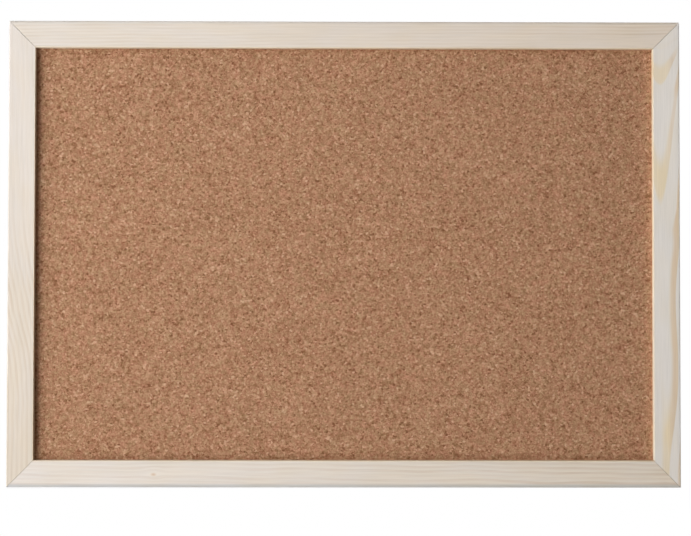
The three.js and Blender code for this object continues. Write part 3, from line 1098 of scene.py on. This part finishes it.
def hanger_screw(along, name):
    """A screw turned from one profile, with ridges for threads and a cross cut in its domed head."""
    length = (SCREW_TURNS + 1) * SCREW_PITCH
    profile = [(0, -length)]
    for number in range(1, SCREW_TURNS + 1):
        ridge = number * SCREW_PITCH - length
        profile.append((SCREW_CORE, ridge - SCREW_PITCH / 4))
        profile.append((SCREW_SHANK, ridge))
        profile.append((SCREW_CORE, ridge + SCREW_PITCH / 4))
    profile.append((SCREW_CORE, 0))
    profile.append((SCREW_HEAD - SCREW_HEAD_EASE, 0))
    profile.append((SCREW_HEAD, SCREW_HEAD_EASE))
    profile.append((SCREW_HEAD, SCREW_HEAD_RIM))
    for step in range(1, DOME_STEPS + 1):
        turn = step / DOME_STEPS * math.pi / 2
        rise = (SCREW_HEAD_HEIGHT - SCREW_HEAD_RIM) * math.sin(turn)
        profile.append((SCREW_HEAD * math.cos(turn), SCREW_HEAD_RIM + rise))
    seat = Vector((along, STRAP_THICKNESS, -SCREW_INSET))
    bm = bmesh.new()
    line = [bm.verts.new(seat + Vector((max(radius, 0), y, 0))) for radius, y in profile]
    edges = [bm.edges.new(pair) for pair in zip(line, line[1:])]
    bmesh.ops.spin(
        bm,
        geom=line + edges,
        cent=seat,
        axis=(0, 1, 0),
        angle=2 * math.pi,
        steps=SCREW_STEPS,
        use_merge=True,
        use_duplicate=False,
    )
    bmesh.ops.remove_doubles(bm, verts=bm.verts, dist=SAME_POINT)
    screw = finished(bm, name)
    crown = Matrix.Translation(seat + Vector((0, SCREW_HEAD_HEIGHT, 0)))
    for turn in (RECESS_TURN, RECESS_TURN + math.pi / 2):
        arm = crown @ Matrix.Rotation(turn, 4, "Y") @ Matrix.Diagonal((*RECESS_ARM, 1))
        bm = bmesh.new()
        bmesh.ops.create_cube(bm, size=1.0, matrix=arm)
        take_out(screw, finished(bm, "recess_arm"))
    return screw


for side in ("left", "right"):
    height = along_rail(side + "_hanger_ring", side)
    for make, part, body in (
        (hanger_strap, "strap", "board"),
        (hanger_ring, "ring", side + "_ring"),
        (hanger_screw, "screw", "board"),
    ):
        node = f"{side}_hanger_{part}"
        piece = make(height, node + "_zinc")
        piece.data.transform(at_side(side))
        shade(piece.data)
        zinc_piece(piece, node, body)

# Floor, lamps and camera. The board hangs in the air over a pale floor. A broad lamp stands to the
# left of the camera, with one more above it and one below, and the room's light fills the rest. Two
# others show the back and the right side.
FLOOR_RADIUS = 3.0
FLOOR_Z = -2.4
FLOOR_SIDES = 64
FLOOR_TONE = tone(226, 225, 222)
GLOW_REACH = (0.8, 2.6)
GLOW_STRENGTH = (0.6, 1.0)
ROOM_COLOUR = (1.0, 0.9, 0.8, 1.0)
ROOM_STRENGTH = 0.105
WHITE = (1.0, 1.0, 1.0, 1.0)
FRONT_BEAM = 80
ALL_ROUND = 180
LAMPS = {
    "main_lamp": dict(
        place_at=(-1.0, -0.8, 0.1),
        aim_at=(-0.2, 0, 0.1),
        size=(1.66, 1.0),
        power=3.58,
        beam=FRONT_BEAM,
    ),
    "upper_lamp": dict(
        place_at=(-1.0, -0.8, 0.83),
        aim_at=(-0.2, 0, 0),
        size=(1.66, 0.9),
        power=2.48,
        beam=FRONT_BEAM,
    ),
    "lower_lamp": dict(
        place_at=(-1.0, -0.8, -0.83),
        aim_at=(-0.2, 0, 0),
        size=(1.66, 0.9),
        power=3.62,
        beam=FRONT_BEAM,
    ),
    "back_lamp": dict(
        place_at=(0.4, 3.2, 1.2),
        aim_at=(0, 0, 0),
        size=(4.6, 4.6),
        power=100,
        mirrored=False,
    ),
    "side_lamp": dict(
        place_at=(2.6, 1.0, 0.5),
        aim_at=(0, 0, 0),
        size=(2.0, 2.0),
        power=40,
    ),
}
LENS_LENGTH = 84.77
SENSOR_WIDTH = 36
CAMERA_PLACE = (-0.0075, -1.2, -0.0413)
CAMERA_TURN = (91.497, -0.08, -0.406)


def background_rays(tree):
    """1 for a ray that comes straight from the camera, or by way of metal or glass."""
    ray = place(tree, "ShaderNodeLightPath").outputs
    by_way = calc(tree, "MAXIMUM", ray["Is Glossy Ray"], ray["Is Transmission Ray"])
    return calc(tree, "MAXIMUM", ray["Is Camera Ray"], by_way)


level = Matrix.Translation((0, 0, FLOOR_Z))
bm = bmesh.new()
bmesh.ops.create_circle(bm, cap_ends=True, segments=FLOOR_SIDES, radius=FLOOR_RADIUS, matrix=level)
floor = finished(bm, "floor")
floor_finish, tree, shader = new_finish("pale_floor")
shader.inputs["Base Color"].default_value = FLOOR_TONE
shader.inputs["Roughness"].default_value = 0.8
shader.inputs["Emission Color"].default_value = WHITE
from_middle = length_of(tree, stretched(tree, object_place(tree), (1, 1, 0)))
glow = spread(tree, from_middle, *GLOW_REACH, *GLOW_STRENGTH)
glow = calc(tree, "MULTIPLY", background_rays(tree), glow)
tree.links.new(glow, shader.inputs["Emission Strength"])
floor.data.materials.append(floor_finish)


def soft_lamp(name, place_at, aim_at, size, power, beam=ALL_ROUND, mirrored=True):
    """A rectangle of light, in metres and watts, which the camera doesn't see."""
    lamp = bpy.data.lights.new(name, "AREA")
    lamp.shape = "RECTANGLE"
    lamp.size, lamp.size_y = size
    lamp.energy = power
    lamp.spread = math.radians(beam)
    stand = bpy.data.objects.new(name, lamp)
    stand.location = place_at
    stand.visible_camera = False
    stand.visible_glossy = mirrored
    aim = Vector(aim_at) - Vector(place_at)
    stand.rotation_euler = aim.to_track_quat("-Z", "Y").to_euler()
    bpy.context.collection.objects.link(stand)


for name, lamp in LAMPS.items():
    soft_lamp(name, **lamp)

world = bpy.data.worlds.new("room")
world.use_nodes = True
bpy.context.scene.world = world
tree = world.node_tree
tree.nodes.clear()
room = place(tree, "ShaderNodeBackground", {"Color": ROOM_COLOUR, "Strength": ROOM_STRENGTH})
white = place(tree, "ShaderNodeBackground", {"Color": WHITE, "Strength": 1.0})
sockets = {0: background_rays(tree), 1: room.outputs[0], 2: white.outputs[0]}
shown = place(tree, "ShaderNodeMixShader", sockets)
place(tree, "ShaderNodeOutputWorld", {"Surface": shown.outputs[0]})

lens = bpy.data.cameras.new("camera")
lens.lens = LENS_LENGTH
lens.sensor_width = SENSOR_WIDTH
camera = bpy.data.objects.new("camera", lens)
camera.location = CAMERA_PLACE
camera.rotation_euler = [math.radians(angle) for angle in CAMERA_TURN]
bpy.context.collection.objects.link(camera)
bpy.context.scene.camera = camera
bpy.context.scene.view_settings.view_transform = "Standard"
